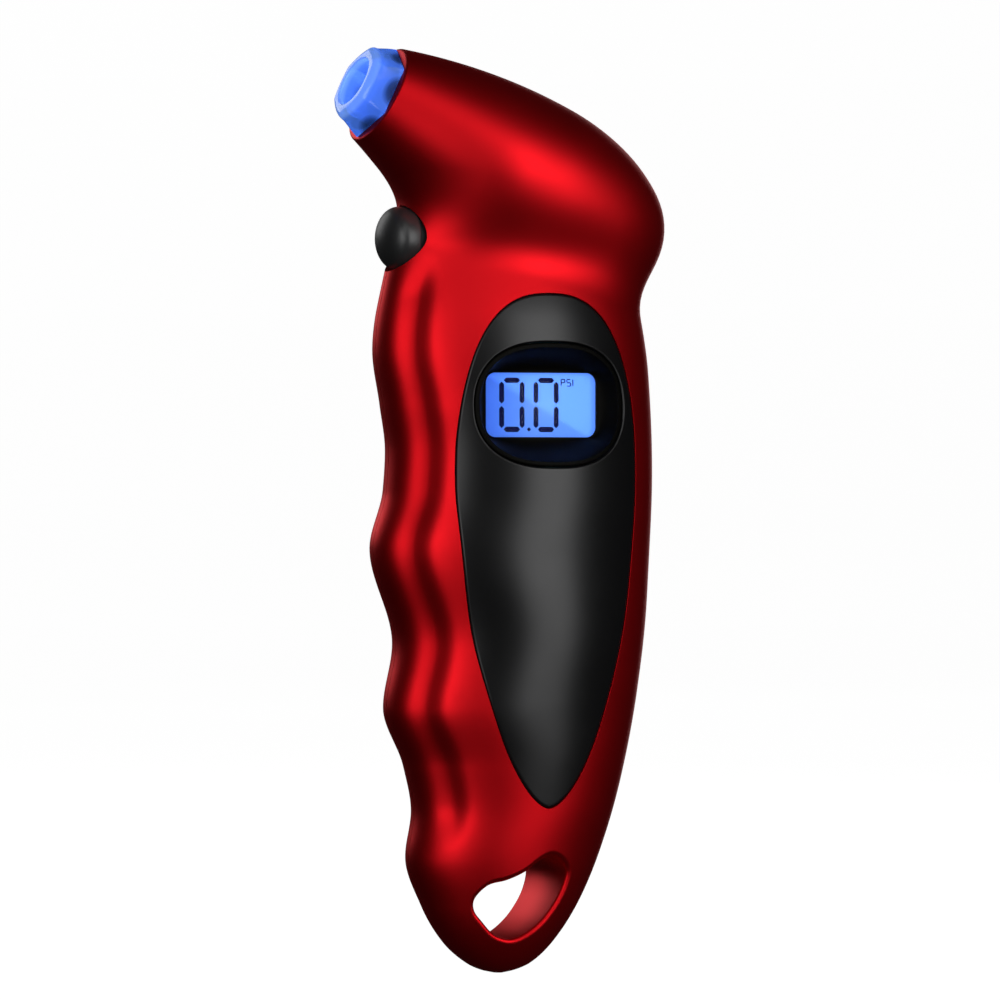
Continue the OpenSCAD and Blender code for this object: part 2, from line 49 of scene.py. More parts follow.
SKIN_INSET = 0.08  # keeps the smooth skin just inside the CAD's box
WALL = 2.2

# Handle outline: rows of [height, value]
LEFT_EDGE = [
    [0, -4.8], [0.4, -6.8], [1.5, -9.4], [5, -13.6], [11, -17.4], [19, -20.2], [26.5, -19.2], [34, -20.6],
    [43.5, -24.2], [54, -22.5], [69.5, -26.6], [79, -24.2], [85.5, -23.8], [93, -24.8], [102, -26.2],
    [120, -22.9], [140, -19],
]
RIGHT_EDGE = [
    [0, -3.2], [0.4, -1.2], [1.5, 1.6], [5, 5.6], [12, 10.4], [20, 14], [32, 17.7], [46, 20.6], [62, 22.4],
    [82, 23.3], [98, 22.7], [110, 20.9], [120, 18], [140, 12],
]
HALF_DEPTH = [
    [0, 1], [0.6, 2.8], [3, 5.2], [8, 7.8], [16, 9.8], [28, 11.5], [45, 13.1], [66, 14], [90, 14],
    [106, 12.6], [120, 9.6], [140, 8],
]

# Barrel
TILT = math.radians(26)
OUT = np.array([-math.cos(TILT), 0.0, math.sin(TILT)])
ACROSS = np.array([math.sin(TILT), 0.0, math.cos(TILT)])
MOUTH = np.array([-25.6, 0.0, 143.5])
MOUTH_R = 8.4
BARREL_R = 13.2
BARREL_SWELL = 31.2
BARREL_TAIL = 24.6
BELLY = 1.6  # how much wider the barrel gets, with its upper edge staying where it is
BELLY_RISE = 26.0
BELLY_END = 44.0
HANDLE_TOP = 126.0
TOP_ROUND = 6.0
BLEND = 6.0

# Groove that follows the finger waves
GROOVE_IN = 4.2
GROOVE_WIDTH = 2.4
GROOVE_STEEP = 1.6  # width of its side towards the panel
GROOVE_DEPTH = 0.6
GROOVE_LOW = 20.0
GROOVE_HIGH = 118.0
GROOVE_FADE = 8.0

# Rings of the skin
SPINE_TOP = 100.0
SPINE_START = np.array([-1.0, 0.0, SPINE_TOP])
SPINE_BEND = np.array([-1.0, 0.0, 131.5])
RING_REACH = 60.0
RAY_REACH = 46.0

# Display, button, chuck and back
DISPLAY_Z = 92.9
WINDOW_W = 19.9
WINDOW_H = 10.5
WINDOW_Y = -7.8
LCD_Y = -7.0
BUTTON_Z = 120.0
BUTTON_R = 5.2
DOME_FROM = -22.0
DOME_RISE = 3.4
HEX_R = 8.3
HEX_FRONT = 7.1
HEX_LEN = 4.8
TIP_RIM = 1.5
PORT_R = 4.1
BAY_X = -1.3
DOOR_W = 26.6
DOOR_LOW = 52.0
DOOR_HIGH = 78.6
DOOR_SCREW_Z = 74.2
CASE_SCREWS = [[-1.5, 24], [-17.8, 84], [17.4, 84], [14, 120]]
SCREW_HOLE_R = 2.45


# ---------------------------------------------------------------- the form

def ease(t):
    t = np.clip(t, 0, 1)
    return t * t * (3 - 2 * t)


def soft_min(a, b, k):
    h = np.clip(0.5 + 0.5 * (b - a) / k, 0, 1)
    return b + (a - b) * h - k * h * (1 - h)


def curve(rows, at):
    """A smooth curve through rows of [position, value], flat at each peak and hollow."""
    x, y = np.array(rows, float).T
    gap = np.diff(x)
    rise = np.diff(y) / gap
    slope = np.zeros(len(x))
    slope[0], slope[-1] = rise[0], rise[-1]
    same_way = rise[:-1] * rise[1:] > 0
    total = np.where(same_way, rise[:-1] + rise[1:], 1)
    slope[1:-1] = np.where(same_way, 2 * rise[:-1] * rise[1:] / total, 0)
    z = np.clip(at, x[0], x[-1])
    i = np.clip(np.searchsorted(x, z, side="right") - 1, 0, len(gap) - 1)
    s = (z - x[i]) / gap[i]
    return (
        (1 + 2 * s) * (1 - s) ** 2 * y[i]
        + s * (1 - s) ** 2 * gap[i] * slope[i]
        + s * s * (3 - 2 * s) * y[i + 1]
        + s * s * (s - 1) * gap[i] * slope[i + 1]
    )


def handle_level(p):
    x, y, z = p[..., 0], p[..., 1], p[..., 2]
    left, right, depth = curve(LEFT_EDGE, z), curve(RIGHT_EDGE, z), curve(HALF_DEPTH, z)
    half = (right - left) / 2
    q = np.sqrt(((x - (left + right) / 2) / half) ** 2 + (y / depth) ** 2)
    side = x - left - GROOVE_IN
    side = side / np.where(side < 0, GROOVE_WIDTH, GROOVE_STEEP)
    fade = ease((z - GROOVE_LOW) / GROOVE_FADE) * ease((GROOVE_HIGH - z) / GROOVE_FADE)
    groove = GROOVE_DEPTH * np.exp(-side * side) * fade
    return -soft_min(-((q - 1) * np.minimum(half, depth) + groove), HANDLE_TOP - z, TOP_ROUND)


def barrel_level(p):
    d = p - MOUTH
    back = -(d @ OUT)
    belly = BELLY * ease(back / BELLY_RISE) * ease((BELLY_END - back) / BELLY_RISE)
    radius = BARREL_R + belly
    off = np.linalg.norm(d + back[..., None] * OUT + belly[..., None] * ACROSS, axis=-1)
    swell = np.maximum(BARREL_SWELL - back, 0) / BARREL_SWELL
    tail = np.maximum(back - BARREL_SWELL, 0) / BARREL_TAIL
    front = off - radius + (BARREL_R - MOUTH_R) * swell * swell
    return np.where(back < BARREL_SWELL, front, (np.hypot(off / radius, tail) - 1) * radius)


def body_level(p):
    return soft_min(barrel_level(p), handle_level(p), BLEND)


def meet(start, way, inset):
    """Where rays from inside meet the skin, moved in by inset."""
    low = np.full(way.shape[:-1], 0.02)
    high = np.full(way.shape[:-1], RAY_REACH)
    for _ in range(24):
        middle = (low + high) / 2
        outside = body_level(start + way * middle[..., None]) + inset > 0
        high = np.where(outside, middle, high)
        low = np.where(outside, low, middle)
    return start + way * ((low + high) / 2)[..., None]


def skin_depth(x, z):
    """How far in front of or behind the middle plane the skin is at x, z."""
    x, z = np.broadcast_arrays(np.asarray(x, float), np.asarray(z, float))
    start = np.stack([x, np.zeros_like(x), z], -1)
    way = np.broadcast_to(np.array([0.0, 1.0, 0.0]), start.shape)
    return meet(start, way, SKIN_INSET)[..., 1]


def ring_centres(s):
    """Centre of each ring and the direction across it, for stations s along the spine."""
    middle = (curve(LEFT_EDGE, s) + curve(RIGHT_EDGE, s)) / 2
    w = ease((s - 80) / 20)
    flat = np.stack([middle * (1 - w) + SPINE_START[0] * w, 0 * s, s], -1)
    u = np.clip((s - SPINE_TOP) / RING_REACH, 0, 1)[:, None]
    bent = (1 - u) ** 2 * SPINE_START + 2 * u * (1 - u) * SPINE_BEND + u * u * MOUTH
    way = (1 - u) * (SPINE_BEND - SPINE_START) + u * (MOUTH - SPINE_BEND)
    way /= np.linalg.norm(way, axis=1)[:, None]
    high = (s > SPINE_TOP)[:, None]
    across = np.where(high, np.stack([way[:, 2], 0 * s, -way[:, 0]], -1), [1.0, 0.0, 0.0])
    return np.where(high, bent, flat), across


def skin_rings(s, angles, inset, side):
    """Skin points on rings s at these angles (radians, 0 is the right, pi the left)."""
    centres, across = ring_centres(s)
    way = 1.6 * np.cos(angles)[None, :, None] * across[:, None, :]
    way = way + np.sin(angles)[None, :, None] * np.array([0.0, side, 0.0])
    way /= np.linalg.norm(way, axis=-1)[..., None]
    start = np.broadcast_to(centres[:, None, :], way.shape)
    return meet(start, way, np.asarray(inset))


# ---------------------------------------------------------------- mesh helpers

def place(points):
    return (np.asarray(points, float) + [ORIGIN_SHIFT, 0, 0]) * MM


def volume_sign(points, faces):
    total = 0.0
    for f in faces:
        a = points[f[0]]
        for i in range(1, len(f) - 1):
            total += np.dot(a, np.cross(points[f[i]], points[f[i + 1]]))
    return total


def new_piece(name, points, faces, sharp=40):
    """A closed mesh in the shared frame, turned outward, smooth but for edges sharper than sharp degrees."""
    points = place(np.asarray(points).reshape(-1, 3))
    centred = points - points.mean(axis=0)
    if volume_sign(centred, faces) < 0:
        faces = [f[::-1] for f in faces]
    mesh = bpy.data.meshes.new(name)
    mesh.from_pydata(points.tolist(), [], [list(map(int, f)) for f in faces])
    mesh.validate()
    obj = bpy.data.objects.new(name, mesh)
    bpy.context.scene.collection.objects.link(obj)
    smooth(obj, sharp)
    return obj


def smooth(obj, sharp=40):
    mesh = obj.data
    mesh.polygons.foreach_set("use_smooth", [True] * len(mesh.polygons))
    mesh.set_sharp_from_angle(angle=math.radians(sharp))


def grid_faces(rows, columns, start=0, wrap_rows=False, wrap_columns=False):
    faces = []
    for i in range(rows if wrap_rows else rows - 1):
        for j in range(columns if wrap_columns else columns - 1):
            m = (j + 1) % columns
            this_row = start + i * columns
            next_row = start + (i + 1) % rows * columns
            faces.append((this_row + j, this_row + m, next_row + m, next_row + j))
    return faces


def ring_piece(name, loops, sharp=40):
    """A closed ring-shaped solid from an array of (columns round, points in the section, 3)."""
    n, m = loops.shape[:2]
    return new_piece(name, loops.reshape(-1, 3), grid_faces(n, m, wrap_rows=True, wrap_columns=True), sharp)


def stacked_piece(name, rings, sharp=40):
    """A closed solid from rings of points, with a flat or dished cap at each end."""
    rings = np.asarray(rings)
    n, m = rings.shape[:2]
    faces = grid_faces(n, m, wrap_columns=True)
    faces += [(n * m, (j + 1) % m, j) for j in range(m)]
    faces += [(n * m + 1, (n - 1) * m + j, (n - 1) * m + (j + 1) % m) for j in range(m)]
    points = np.vstack([rings.reshape(-1, 3), rings[0].mean(axis=0), rings[-1].mean(axis=0)])
    return new_piece(name, points, faces, sharp)


def cut(obj, tool):
    step = obj.modifiers.new("cut", "BOOLEAN")
    step.operation = "DIFFERENCE"
    step.solver = "MANIFOLD"
    step.object = tool
    ready = obj.evaluated_get(bpy.context.evaluated_depsgraph_get())
    mesh = bpy.data.meshes.new_from_object(ready)
    obj.modifiers.clear()
    obj.data = mesh
    bpy.data.objects.remove(tool)
    smooth(obj)


# ---------------------------------------------------------------- outlines, in x and z

def resample(points, count):
    """count evenly spaced points round a closed outline."""
    closed = np.vstack([points, points[:1]])
    along = np.concatenate([[0], np.cumsum(np.linalg.norm(np.diff(closed, axis=0), axis=1))])
    at = np.linspace(0, along[-1], count, endpoint=False)
    return np.stack([np.interp(at, along, closed[:, 0]), np.interp(at, along, closed[:, 1])], -1)


def outward(points):
    """Unit normals of an outline that runs anticlockwise."""
    d = np.roll(points, -1, axis=0) - np.roll(points, 1, axis=0)
    d /= np.linalg.norm(d, axis=1)[:, None]
    return np.stack([d[:, 1], -d[:, 0]], -1)


def panel_outline(count):
    """The teardrop panel, anticlockwise from its right side."""
    t = np.linspace(0, math.pi, 600)
    z = 69.1 - 41.9 * np.cos(t)
    upper = 16.3 * np.clip(1 - (np.clip(z - 80, 0, None) / 31) ** 2.5, 0, 1) ** 0.4
    lower = 16.3 * np.clip(1 - (np.clip(80 - z, 0, None) / 52.8) ** 1.75, 0, 1) ** 0.6
    half = np.where(z > 80, upper, lower)
    right = np.stack([half, z], -1)
    left = np.stack([-half[::-1], z[::-1]], -1)[1:-1]
    return resample(np.vstack([right, left]), count)


def oval_outline(count, grow=0.0):
    a = np.linspace(0, 2 * math.pi, 720, endpoint=False)
    c, s = np.cos(a), np.sin(a)
    x = (13.45 + grow) * np.sign(c) * np.abs(c) ** 0.75
    z = DISPLAY_Z + (10.1 + grow) * np.sign(s) * np.abs(s) ** 0.9
    return resample(np.stack([x, z], -1), count)


def rounded_box(cx, cz, w, h, r, count):
    a = np.linspace(0, 2 * math.pi, 360, endpoint=False)
    x = cx + r * np.cos(a) + np.sign(np.cos(a)) * (w / 2 - r)
    z = cz + r * np.sin(a) + np.sign(np.sin(a)) * (h / 2 - r)
    return resample(np.stack([x, z], -1), count)


def circle(cx, cz, r, count):
    a = np.linspace(0, 2 * math.pi, count, endpoint=False)
    return np.stack([cx + r * np.cos(a), cz + r * np.sin(a)], -1)


def hull_outline(discs, count):
    """The outline round several discs of [x, z, r]."""
    a = np.linspace(0, 2 * math.pi, 1440, endpoint=False)
    way = np.stack([np.cos(a), np.sin(a)], -1)
    reach = np.stack([way @ np.array(d[:2]) + d[2] for d in discs])
    best = reach.argmax(axis=0)
    points = np.array([d[:2] for d in discs])[best] + way * np.array([d[2] for d in discs])[best][:, None]
    return resample(points, count)


def by_angle(outline, centre, directions):
    """Points of outline seen from centre in the given directions."""
    d = outline - centre
    angle = np.unwrap(np.arctan2(d[:, 1], d[:, 0]))
    radius = np.linalg.norm(d, axis=1)
    angle = np.concatenate([angle - 2 * math.pi, angle, angle + 2 * math.pi])
    radius = np.tile(radius, 3)
    wanted = np.arctan2(directions[:, 1], directions[:, 0])
    r = np.interp(wanted, angle, radius)
    return centre + r[:, None] * np.stack([np.cos(wanted), np.sin(wanted)], -1)


def on_skin(xz, side, below):
    """Points at xz, this far below the skin on the front (-1) or the back (1)."""
    depth = skin_depth(xz[..., 0], xz[..., 1])
    return np.stack([xz[..., 0], side * (depth - below), xz[..., 1]], -1)


FLARE_TURNS = [12, 24, 36, 48, 60, 70]
FLARE_RUN = 1.2


def flared_tool(name, outline, side, radius, floor=None, depth=None):
    """A cutter with this outline that opens out near the skin, so the cut edge is rounded.
    It goes down to y = floor, or to this depth below the skin with a bottom that follows the skin."""
    normal = outward(outline)
    centre = outline.mean(axis=0)
    rings = []
    if depth is None:
        base = on_skin(outline, side, 0)
        base[:, 1] = side * floor
        rings.append(base)
    else:
        for scale in (0.04, 0.2, 0.4, 0.6, 0.8, 0.93, 1.0):
            rings.append(on_skin(centre + (outline - centre) * scale, side, depth))
    rings.append(on_skin(outline, side, radius))
    for turn in np.radians(FLARE_TURNS):
        wider = outline + normal * radius * (1 - math.cos(turn))
        rings.append(on_skin(wider, side, radius * (1 - math.sin(turn))))
    last = math.radians(FLARE_TURNS[-1])
    spread = radius * (1 - math.cos(last)) + FLARE_RUN
    rise = FLARE_RUN / math.tan(last)
    rings.append(on_skin(outline + normal * spread, side, radius * (1 - math.sin(last)) - rise))
    far = rings[-1].copy()
    far[:, 1] = side * 30
    rings.append(far)
    return stacked_piece(name, rings)


# ---------------------------------------------------------------- the case

RING_S = np.concatenate([
    SPINE_TOP * np.linspace(0, 1, 170) ** 1.3,
    SPINE_TOP + (RING_REACH - 0.6) * np.linspace(0, 1, 70)[1:],
    SPINE_TOP + RING_REACH - np.array([0.45, 0.3, 0.18, 0.08, 0.0]),
])
CAVITY_FROM = 28.5


def half_case(name, side):
    """One half of the case with its wall. The two halves meet at the middle plane, in a fine groove."""
    t = np.linspace(0, 1, 104)
    angles = np.pi * (0.5 - 0.5 * np.cos(np.pi * t))
    angles = np.clip(angles, math.radians(1.1), math.radians(178.9))
    angles = np.unique(angles)
    to_mouth = np.clip(0.4 - (SPINE_TOP + RING_REACH - RING_S) * 0.91, 0, 0.4)
    mouth_round = 0.4 - np.sqrt(np.maximum(0.16 - to_mouth ** 2, 0))
    inset = SKIN_INSET + mouth_round[:, None]
    skin = skin_rings(RING_S, angles, inset, side)
    right = skin_rings(RING_S, np.array([0.0, math.radians(0.5)]), inset + np.array([0.02, 0.0]), side)
    left = skin_rings(RING_S, np.array([math.radians(179.5), math.pi]), inset + np.array([0.0, 0.02]), side)
    right[:, 0, 1] = 0
    left[:, 1, 1] = 0
    outer = np.concatenate([right, skin, left], axis=1)
    n, m = outer.shape[:2]
    first = int(np.searchsorted(RING_S, CAVITY_FROM))
    inner_s = RING_S[first:]
    inner = skin_rings(inner_s, np.linspace(0, math.pi, m), WALL, side)
    inner[:, 0, 1] = 0
    inner[:, -1, 1] = 0
    k = len(inner_s)
    base = n * m
    faces = grid_faces(n, m)
    faces += [f[::-1] for f in grid_faces(k, m, base)]
    faces.append(tuple(range(m))[::-1])
    faces.append(tuple(range(base, base + m)))
    for i in range(first - 1):
        faces.append((i * m, (i + 1) * m, (i + 1) * m + m - 1, i * m + m - 1))
    lower, upper = (first - 1) * m, first * m
    faces.append((lower, upper, base, base + m - 1, upper + m - 1, lower + m - 1))
    for i in range(k - 1):
        a, b = (i + first) * m, base + i * m
        faces.append((a, a + m, b + m, b))
        faces.append((b + m - 1, b + 2 * m - 1, a + 2 * m - 1, a + m - 1))
    for j in range(m - 1):
        a, b = (n - 1) * m + j, base + (k - 1) * m + j
        faces.append((a, a + 1, b + 1, b))
    return new_piece(name, np.concatenate([outer.reshape(-1, 3), inner.reshape(-1, 3)]), faces, 50)


def closed_curve(knots, count):
    """A smooth closed outline through these points."""
    knots = np.array(knots, float)
    ahead = (np.roll(knots, -1, axis=0) - np.roll(knots, 1, axis=0)) / 2
    t = np.linspace(0, 1, 24, endpoint=False)[:, None]
    parts = []
    for k in range(len(knots)):
        a, b = knots[k], knots[(k + 1) % len(knots)]
        u, v = ahead[k], ahead[(k + 1) % len(knots)]
        parts.append((2 * t ** 3 - 3 * t ** 2 + 1) * a + (t ** 3 - 2 * t ** 2 + t) * u
                     + (3 * t ** 2 - 2 * t ** 3) * b + (t ** 3 - t ** 2) * v)
    return resample(np.vstack(parts), count)


# The lanyard hole leans up to the right, with a slight hollow in its upper edge
LANYARD = closed_curve([
    [4.6, 16.6], [3.2, 18.6], [1.2, 19.4], [-0.9, 18.6], [-3.4, 16.8], [-6.4, 15.5], [-9.4, 14.7],
    [-11.3, 12.6], [-11.2, 10.6], [-9.8, 8.8], [-7.8, 6.8], [-5.6, 5.9], [-3.6, 6.0], [-1.2, 7.3],
    [1.3, 9.6], [3.6, 13.0],
], 160)


def along(y, z, rings):
    """Rings of a turned solid along X: rings is a list of [x, radius]."""
    a = np.linspace(0, 2 * math.pi, 96, endpoint=False)
    return [np.stack([0 * a + x, y + r * np.cos(a), z + r * np.sin(a)], -1) for x, r in rings]


def turned_y(cx, cz, rings):
    """Rings of a turned solid along Y: rings is a list of [y, radius]."""
    a = np.linspace(0, 2 * math.pi, 72, endpoint=False)
    return [np.stack([cx + r * np.cos(a), 0 * a + y, cz + r * np.sin(a)], -1) for y, r in rings]


def button_tool():
    r = BUTTON_R + 0.22
    return stacked_piece("button_tool", along(0.0, BUTTON_Z, [[-14, r], [-40, r]]))


def grown(outline, by):
    return outline + outward(outline) * by


def door_outline(grow, count):
    middle = (DOOR_LOW + DOOR_HIGH) / 2
    return rounded_box(BAY_X, middle, DOOR_W + 2 * grow, DOOR_HIGH - DOOR_LOW + 2 * grow, 3 + grow, count)


def front_case():
    case = half_case("front_case", -1)
    cut(case, flared_tool("panel_tool", grown(panel_outline(420), 0.08), -1, 0.16, floor=4.9))
    cut(case, flared_tool("lanyard_tool", LANYARD, -1, 1.0, floor=-1.0))
    cut(case, button_tool())
    skin_normals(case, -1)
    return case


def rear_case():
    case = half_case("rear_case", 1)
    cut(case, flared_tool("recess_tool", door_outline(0.28, 240), 1, 0.3, depth=1.3))
    bay = rounded_box(BAY_X, 62.0, 20.6, 12.0, 0.6, 96)
    low = np.stack([bay[:, 0], 0 * bay[:, 0] + 4, bay[:, 1]], -1)
    cut(case, stacked_piece("bay_tool", [low, low + [0, 14, 0]]))
    cut(case, stacked_piece("pocket_tool", turned_y(BAY_X, DOOR_SCREW_Z, [[4, 3.6], [20, 3.6]])))
    cut(case, flared_tool("lanyard_tool", LANYARD, 1, 1.0, floor=-1.0))
    cut(case, button_tool())
    for x, z in CASE_SCREWS:
        top = float(skin_depth(x, z))
        hole = [[-1, SCREW_HOLE_R], [top - 0.6, SCREW_HOLE_R], [top + 2, 4.2]]
        cut(case, stacked_piece("screw_tool", turned_y(x, z, hole)))
    skin_normals(case, 1)
    return case


def skin_normals(case, side):
    """Shading on the smooth skin follows the form itself, also beside the cut edges."""
    mesh = case.data
    n_verts, n_loops, n_faces = len(mesh.vertices), len(mesh.loops), len(mesh.polygons)
    points = np.empty(n_verts * 3)
    mesh.vertices.foreach_get("co", points)
    points = points.reshape(-1, 3) / MM - [ORIGIN_SHIFT, 0, 0]
    slope = np.empty_like(points)
    step = 0.02
    for axis in range(3):
        shift = np.zeros(3)
        shift[axis] = step
        slope[:, axis] = body_level(points + shift) - body_level(points - shift)
    slope /= np.maximum(np.linalg.norm(slope, axis=1), 1e-9)[:, None]
    on_the_skin = (np.abs(body_level(points) + SKIN_INSET) < 0.045) & (points[:, 1] * side > 0.3)
    corner_vertex = np.empty(n_loops, int)
    mesh.loops.foreach_get("vertex_index", corner_vertex)
    first = np.empty(n_faces, int)
    mesh.polygons.foreach_get("loop_start", first)
    whole = np.logical_and.reduceat(on_the_skin[corner_vertex], first)
    sizes = np.diff(np.append(first, n_loops))
    smooth_corner = np.repeat(whole, sizes)
    normals = np.empty(n_loops * 3)
    mesh.corner_normals.foreach_get("vector", normals)
    normals = normals.reshape(-1, 3)
    normals[smooth_corner] = slope[corner_vertex[smooth_corner]]
    mesh.normals_split_custom_set(normals.tolist())


def turned_ring(name, rings, sharp=40):
    """A closed ring-shaped solid from rings of points, each joined to the next and the last to the first."""
    return ring_piece(name, np.swapaxes(np.array(rings), 0, 1), sharp)


SLEEVE_SUNK = 0.3  # how far a sleeve stays below the skin, also where the case slopes away


def screw_sleeves():
    """The tubes that the case screws go down, and the post under the door's screw."""
    made = []
    for n, (x, z) in enumerate(CASE_SCREWS):
        top = float(skin_depth(x, z))
        seat = top - 2.4
        rings = turned_y(x, z, [
            [seat, 1.25], [seat, 2.3], [top - 1.0, 2.42], [top - 1.4, 3.4],
            [0.4, 3.4], [0.2, 3.2], [0.2, 1.25],
        ])
        for ring in rings:
            ring[:, 1] = np.minimum(ring[:, 1], skin_depth(ring[:, 0], ring[:, 2]) - SLEEVE_SUNK)
        made.append(turned_ring(f"screw_sleeve_{n + 1}", rings, 30))
    x, z = BAY_X, DOOR_SCREW_Z
    rings = turned_y(x, z, [
        [11, 1.05], [11, 3.55], [11.7, 3.58], [11.9, 4.5], [4.3, 4.6], [4, 4.3], [4, 1.05],
    ])
    made.append(turned_ring("door_screw_post", rings, 30))
    return made


# ---------------------------------------------------------------- panel, bezel and display

def skin_patch(name, inner, outer, side, sunk, radius, thick, rows):
    """A cover on the skin between two matched outlines, with rounded edges and its own thickness."""
    n_in, n_out = outward(inner), outward(outer)
    sections = []

    def add(xz, below):
        sections.append(on_skin(xz, side, below))

    add(inner, thick)
    for turn in np.radians([0, 25, 50, 70]):
        add(inner + n_in * radius * (1 - math.cos(turn)), sunk + radius * (1 - math.sin(turn)))
    a, b = inner + n_in * radius, outer - n_out * radius
    for w in ease(np.linspace(0, 1, rows)) * 0.6 + np.linspace(0, 1, rows) * 0.4:
        add(a + (b - a) * w, sunk)
    for turn in np.radians([70, 50, 25, 0]):
        add(outer - n_out * radius * (1 - math.cos(turn)), sunk + radius * (1 - math.sin(turn)))
    add(outer, thick)
    for w in (0.75, 0.5, 0.25):
        add(inner + (outer - inner) * w, thick)
    return ring_piece(name, np.swapaxes(np.array(sections), 0, 1), 35)


def face_panel():
    outer = panel_outline(360)
    centre = np.array([0.0, DISPLAY_Z])
    inner = by_angle(oval_outline(720, 0.1), centre, outer - centre)
    return skin_patch("panel", inner, outer, -1, 0.06, 0.35, 1.9, rows=90)


def display_bezel():
    """A glossy funnel from the oval in the panel down to the window."""
    count = 320
    window = rounded_box(0, DISPLAY_Z, WINDOW_W, WINDOW_H, 1.7, count)
    centre = np.array([0.0, DISPLAY_Z])
    rim = by_angle(oval_outline(720, 0.0), centre, window - centre)
    rim_n = outward(rim)
    sections = [on_skin(rim, -1, 2.6)]
    for turn in np.radians([0, 30, 60, 90]):
        narrower = rim - rim_n * 0.3 * (1 - math.cos(turn))
        sections.append(on_skin(narrower, -1, 0.3 + 0.3 * (1 - math.sin(turn))))
    lip = rim - rim_n * 0.75
    sections.append(on_skin(lip, -1, 0.3))
    top = on_skin(lip, -1, 0.3)
    floor_y = WINDOW_Y - 0.35
    for w in np.linspace(0.04, 1, 26):
        xz = lip + (window - lip) * w
        drop = math.sin(w * math.pi / 2) ** 1.15
        y = top[:, 1] * (1 - drop) + floor_y * drop
        sections.append(np.stack([xz[:, 0], y, xz[:, 1]], -1))
    flat = np.stack([window[:, 0], 0 * window[:, 0] + WINDOW_Y, window[:, 1]], -1)
    sections.append(flat)
    smaller = centre + (rim - centre) * 0.97
    back = np.stack([smaller[:, 0], 0 * smaller[:, 0] + WINDOW_Y, smaller[:, 1]], -1)
    sections.append(flat + (back - flat) * 0.5)
    sections.append(back)
    return ring_piece("bezel", np.swapaxes(np.array(sections), 0, 1), 30)


def plate(name, outline, y0, y1):
    """A flat plate in x and z between two depths, with softened edges."""
    edge = 0.1
    normal = outward(outline)
    rings = []
    for grow, y in [(-edge, y0), (0, y0 + edge), (0, y1 - edge), (-edge, y1)]:
        xz = outline + normal * grow
        rings.append(np.stack([xz[:, 0], 0 * xz[:, 0] + y, xz[:, 1]], -1))
    return stacked_piece(name, rings, 60)


def display_window():
    return plate("window", rounded_box(0, DISPLAY_Z, 22.6, 13.0, 1.5, 96), WINDOW_Y + 0.02, LCD_Y - 0.2)


def segment(x0, z0, x1, z1, width):
    """The outline of one bar of a figure, pointed at both ends."""
    a, b = np.array([x0, z0]), np.array([x1, z1])
    way = (b - a) / np.linalg.norm(b - a)
    side = np.array([-way[1], way[0]]) * width / 2
    bevel = way * width / 2
    return np.array([a, a + bevel - side, b - bevel - side, b, b - bevel + side, a + bevel + side])


def figure_bars():
    """Bars of the reading 0.0 and of the small unit mark."""
    bars = []
    width = 0.86
    low, high = 88.95, 96.9
    middle = (low + high) / 2
    for left, right in [(-6.6, -2.95), (-0.45, 3.2)]:
        bars.append(segment(left + 0.35, high, right - 0.35, high, width))
        bars.append(segment(left + 0.35, low, right - 0.35, low, width))
        for x in (left, right):
            bars.append(segment(x, middle + 0.2, x, high - 0.2, width))
            bars.append(segment(x, low + 0.2, x, middle - 0.2, width))
    bars.append(segment(-2.1, 88.95, -1.35, 88.95, 0.75))
    thin = 0.17
    base, top = 96.0, 97.1
    half = (base + top) / 2
    strokes = [
        (4.1, base, 4.1, top), (4.1, top, 4.75, top), (4.75, top, 4.75, half), (4.1, half, 4.75, half),
        (5.15, top, 5.8, top), (5.15, top, 5.15, half), (5.15, half, 5.8, half), (5.8, half, 5.8, base),
        (5.15, base, 5.8, base), (6.2, base, 6.2, top),
    ]
    bars += [segment(*s, thin) for s in strokes]
    return bars


def display_figures():
    points, faces = [], []
    for bar in figure_bars():
        start, n = len(points), len(bar)
        for y in (LCD_Y - 0.04, LCD_Y + 0.03):
            points += [[x, y, z] for x, z in bar]
        faces.append(tuple(start + k for k in range(n)))
        faces.append(tuple(start + n + k for k in reversed(range(n))))
        faces += [(start + (k + 1) % n, start + k, start + n + k, start + n + (k + 1) % n) for k in range(n)]
    return new_piece("display_figures", points, faces, 20)


# ---------------------------------------------------------------- button, chuck and door

def power_button():
    r = BUTTON_R
    dome = []
    for a in np.radians(np.linspace(88, 3, 26)):
        dome.append([DOME_FROM - DOME_RISE * math.cos(a), r * math.sin(a)])
    rings = [[-15.0, r - 0.6], [-15.2, r - 0.35], [-19.9, r - 0.35], [-20.1, r - 0.1], [-20.3, r]] + dome
    return stacked_piece("button_dome", along(0.0, BUTTON_Z, rings), 60)


def hexagon(radius, corner, count):
    apothem = radius * math.cos(math.pi / 6)
    reach = (apothem - corner) / math.cos(math.pi / 6)
    turns = [k * math.pi / 3 for k in range(6)]
    discs = [[reach * math.cos(turn), reach * math.sin(turn), corner] for turn in turns]
    return hull_outline(discs, count)


def on_barrel(xy, along_axis):
    """Points of a section across the barrel, at a distance out of the mouth."""
    return MOUTH + xy[..., :1] * ACROSS + xy[..., 1:] * np.array([0.0, 1.0, 0.0]) + OUT * along_axis


